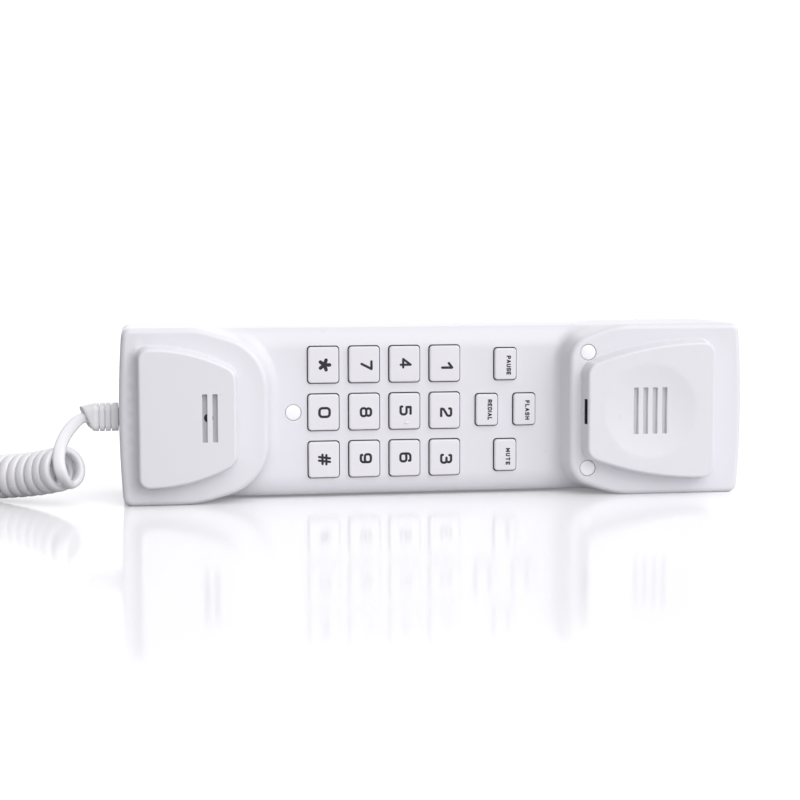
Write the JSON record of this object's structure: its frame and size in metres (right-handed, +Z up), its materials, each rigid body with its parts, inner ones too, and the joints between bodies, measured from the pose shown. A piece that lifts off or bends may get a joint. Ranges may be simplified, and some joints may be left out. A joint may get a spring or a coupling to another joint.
{
  "type": "corded telephone handset",
  "caption": "Slimline corded telephone handset with dial and function keys between the earpiece and mouthpiece blocks and a curly cord to a modular plug.",
  "frame": {"origin": "bottom centre of the handset's bounding box, without the cord and what is on it, as it stands on its long side", "axes": "+X runs along the handset from the mouthpiece to the earpiece, +Y from the face that is dialled to the back, +Z up across the handset's width"},
  "size_m": [0.3202, 0.0619, 0.058],
  "materials": {
    "shell": "moulded white ABS with a soft gloss",
    "key": "white moulded key caps with printed black figures",
    "plug_cap": "bright white push-in screw covers",
    "silicone": "grey silicone",
    "board": "green circuit board",
    "chip": "black moulded epoxy",
    "capacitor_sleeve": "blue shrink sleeve",
    "steel": "zinc-plated steel",
    "dark_plastic": "black plastic",
    "foam": "dark foam",
    "dark_rubber": "black rubber",
    "lead": "vinyl-covered wire",
    "relief": "white flexible vinyl",
    "cord": "white vinyl curly cord",
    "clear_plug": "clear moulded polycarbonate, drawn as pale plastic",
    "gold": "gold-plated spring contacts"
  },
  "bodies": {
    "handset": {"front_shell": "shell", "back_shell": "shell", "keypad_mat": "silicone", "main_board": "board", "dialer_chip": "chip", "capacitor_a": "capacitor_sleeve", "capacitor_b": "capacitor_sleeve", "ringer_bridge": "chip", "board_screw_a": "steel", "board_screw_b": "steel", "board_screw_c": "steel", "board_screw_d": "steel", "receiver_gasket": "foam", "receiver_capsule": "dark_plastic", "microphone_boot": "dark_rubber", "microphone_capsule": "steel", "receiver_lead": "lead", "microphone_lead": "lead", "line_lead": "lead", "case_screw_a": "steel", "case_screw_b": "steel", "case_screw_c": "steel", "screw_plug_a": "plug_cap", "screw_plug_b": "plug_cap", "screw_plug_c": "plug_cap", "strain_relief": "relief", "cord_tail": "cord", "cord_coil": "cord", "cord_end": "cord", "modular_plug": "clear_plug", "plug_contact_a": "gold", "plug_contact_b": "gold", "plug_contact_c": "gold", "plug_contact_d": "gold"},
    "key_1": {"key_1": "key"},
    "key_2": {"key_2": "key"},
    "key_3": {"key_3": "key"},
    "key_4": {"key_4": "key"},
    "key_5": {"key_5": "key"},
    "key_6": {"key_6": "key"},
    "key_7": {"key_7": "key"},
    "key_8": {"key_8": "key"},
    "key_9": {"key_9": "key"},
    "key_star": {"key_star": "key"},
    "key_0": {"key_0": "key"},
    "key_hash": {"key_hash": "key"},
    "key_pause": {"key_pause": "key"},
    "key_redial": {"key_redial": "key"},
    "key_flash": {"key_flash": "key"},
    "key_mute": {"key_mute": "key"}
  },
  "joints": [
    {"name": "key_1_press", "type": "slide", "parent": "handset", "child": "key_1", "axis": [0, 1, 0], "range_m": [0, 0.0012], "stiffness_N_per_m": 300, "springref_m": -0.001},
    {"name": "key_2_press", "type": "slide", "parent": "handset", "child": "key_2", "axis": [0, 1, 0], "range_m": [0, 0.0012], "stiffness_N_per_m": 300, "springref_m": -0.001},
    {"name": "key_3_press", "type": "slide", "parent": "handset", "child": "key_3", "axis": [0, 1, 0], "range_m": [0, 0.0012], "stiffness_N_per_m": 300, "springref_m": -0.001},
    {"name": "key_4_press", "type": "slide", "parent": "handset", "child": "key_4", "axis": [0, 1, 0], "range_m": [0, 0.0012], "stiffness_N_per_m": 300, "springref_m": -0.001},
    {"name": "key_5_press", "type": "slide", "parent": "handset", "child": "key_5", "axis": [0, 1, 0], "range_m": [0, 0.0012], "stiffness_N_per_m": 300, "springref_m": -0.001},
    {"name": "key_6_press", "type": "slide", "parent": "handset", "child": "key_6", "axis": [0, 1, 0], "range_m": [0, 0.0012], "stiffness_N_per_m": 300, "springref_m": -0.001},
    {"name": "key_7_press", "type": "slide", "parent": "handset", "child": "key_7", "axis": [0, 1, 0], "range_m": [0, 0.0012], "stiffness_N_per_m": 300, "springref_m": -0.001},
    {"name": "key_8_press", "type": "slide", "parent": "handset", "child": "key_8", "axis": [0, 1, 0], "range_m": [0, 0.0012], "stiffness_N_per_m": 300, "springref_m": -0.001},
    {"name": "key_9_press", "type": "slide", "parent": "handset", "child": "key_9", "axis": [0, 1, 0], "range_m": [0, 0.0012], "stiffness_N_per_m": 300, "springref_m": -0.001},
    {"name": "key_star_press", "type": "slide", "parent": "handset", "child": "key_star", "axis": [0, 1, 0], "range_m": [0, 0.0012], "stiffness_N_per_m": 300, "springref_m": -0.001},
    {"name": "key_0_press", "type": "slide", "parent": "handset", "child": "key_0", "axis": [0, 1, 0], "range_m": [0, 0.0012], "stiffness_N_per_m": 300, "springref_m": -0.001},
    {"name": "key_hash_press", "type": "slide", "parent": "handset", "child": "key_hash", "axis": [0, 1, 0], "range_m": [0, 0.0012], "stiffness_N_per_m": 300, "springref_m": -0.001},
    {"name": "key_pause_press", "type": "slide", "parent": "handset", "child": "key_pause", "axis": [0, 1, 0], "range_m": [0, 0.0012], "stiffness_N_per_m": 300, "springref_m": -0.001},
    {"name": "key_redial_press", "type": "slide", "parent": "handset", "child": "key_redial", "axis": [0, 1, 0], "range_m": [0, 0.0012], "stiffness_N_per_m": 300, "springref_m": -0.001},
    {"name": "key_flash_press", "type": "slide", "parent": "handset", "child": "key_flash", "axis": [0, 1, 0], "range_m": [0, 0.0012], "stiffness_N_per_m": 300, "springref_m": -0.001},
    {"name": "key_mute_press", "type": "slide", "parent": "handset", "child": "key_mute", "axis": [0, 1, 0], "range_m": [0, 0.0012], "stiffness_N_per_m": 300, "springref_m": -0.001}
  ]
}
